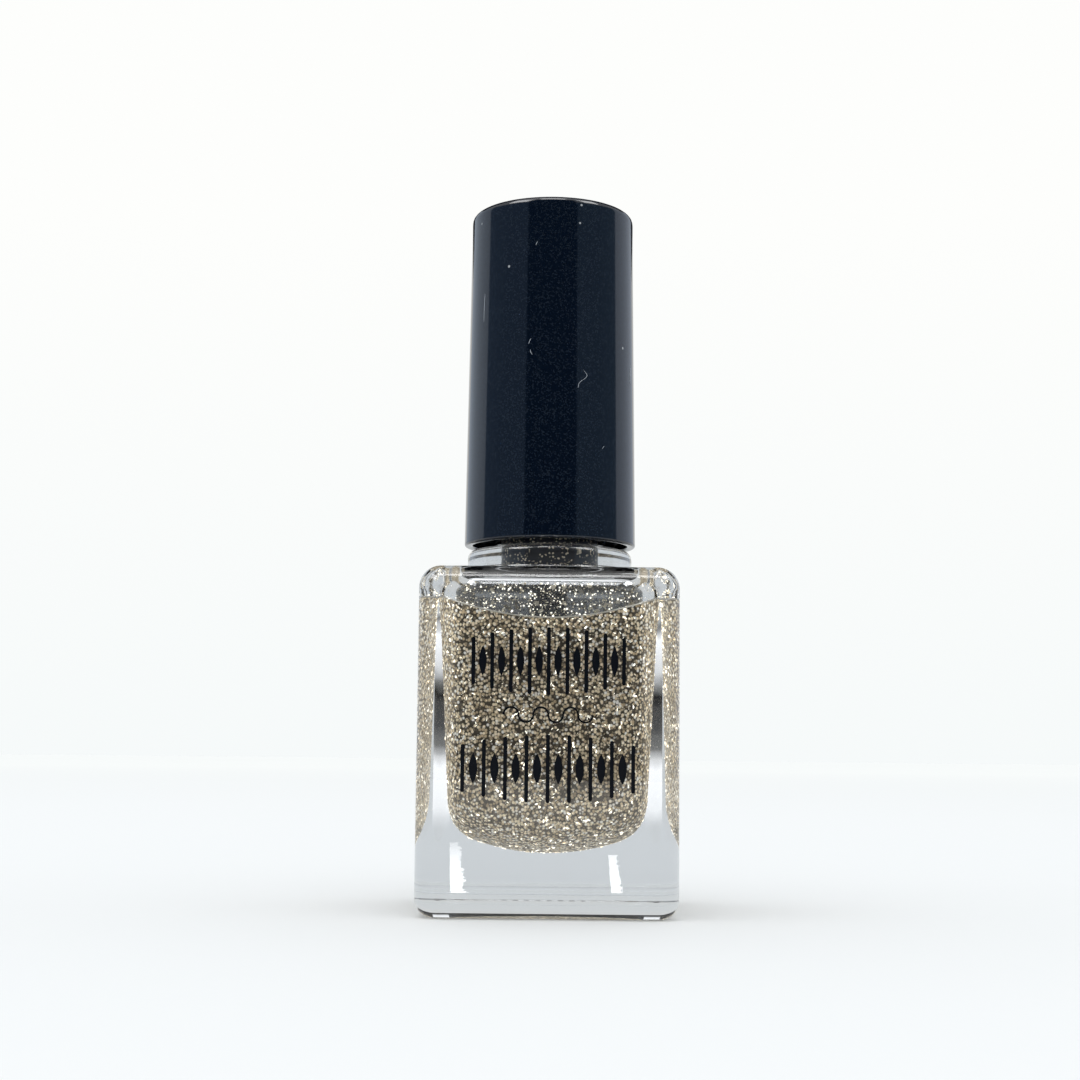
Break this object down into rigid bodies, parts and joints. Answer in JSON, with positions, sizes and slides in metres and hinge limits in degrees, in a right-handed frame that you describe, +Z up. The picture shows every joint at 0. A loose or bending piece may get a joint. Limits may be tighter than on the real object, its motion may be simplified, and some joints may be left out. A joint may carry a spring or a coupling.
{
  "type": "nail polish bottle",
  "caption": "Square thick-walled glass bottle of glitter nail polish with a tall tapered round screw cap that carries the brush.",
  "frame": {"origin": "centre of the footprint, on the surface the bottle stands on", "axes": "+Z up along the neck and the cap, -Y out of the printed front face, +X to the right of the front"},
  "size_m": [0.025, 0.0251, 0.0707],
  "materials": {
    "clear_glass": "clear polished glass",
    "glitter_polish": "champagne gold glitter in clear lacquer",
    "cap_gloss": "high gloss blue-black",
    "closure_plastic": "satin black polypropylene",
    "seal_foam": "soft white expanded polyethylene",
    "stem_plastic": "smooth black polyethylene",
    "staple_wire": "drawn steel wire",
    "bristle_nylon": "black nylon filament",
    "print_ink": "screen-printed black ink",
    "label_paper": "plain white sticker",
    "ball_steel": "polished stainless steel"
  },
  "bodies": {
    "bottle_body": {"bottle": "clear_glass", "polish": "glitter_polish", "front_print": "print_ink", "bottom_label": "label_paper"},
    "ball_1": {"mixing_ball_1": "ball_steel"},
    "ball_2": {"mixing_ball_2": "ball_steel"},
    "seal": {"seal_liner": "seal_foam"},
    "brush": {"brush_stem": "stem_plastic", "brush_staple": "staple_wire", "bristles": "bristle_nylon"},
    "cap": {"overcap": "cap_gloss", "inner_cap": "closure_plastic"}
  },
  "joints": [
    {"name": "brush_draw", "type": "slide", "parent": "bottle_body", "child": "seal", "axis": [0, 0, 1], "range_m": [0, 0.05], "deforming": ["polish"]},
    {"name": "thread_rise", "type": "slide", "parent": "seal", "child": "brush", "axis": [0, 0, 1], "range_m": [0, 0.0032]},
    {"name": "cap_turn", "type": "hinge", "parent": "brush", "child": "cap", "pos_m": [0, 0, 0.05045], "axis": [0, 0, 1], "range_deg": [0, 540]},
    {"name": "ball_1_rise", "type": "slide", "parent": "bottle_body", "child": "ball_1", "axis": [0, 0, 1], "range_m": [0, 0.0202], "deforming": ["polish"]},
    {"name": "ball_2_rise", "type": "slide", "parent": "bottle_body", "child": "ball_2", "axis": [0, 0, 1], "range_m": [0, 0.0202], "deforming": ["polish"]}
  ],
  "couplings": [
    {"joint": "thread_rise", "follows": "cap_turn", "m_per_rad": 0.00033688}
  ]
}
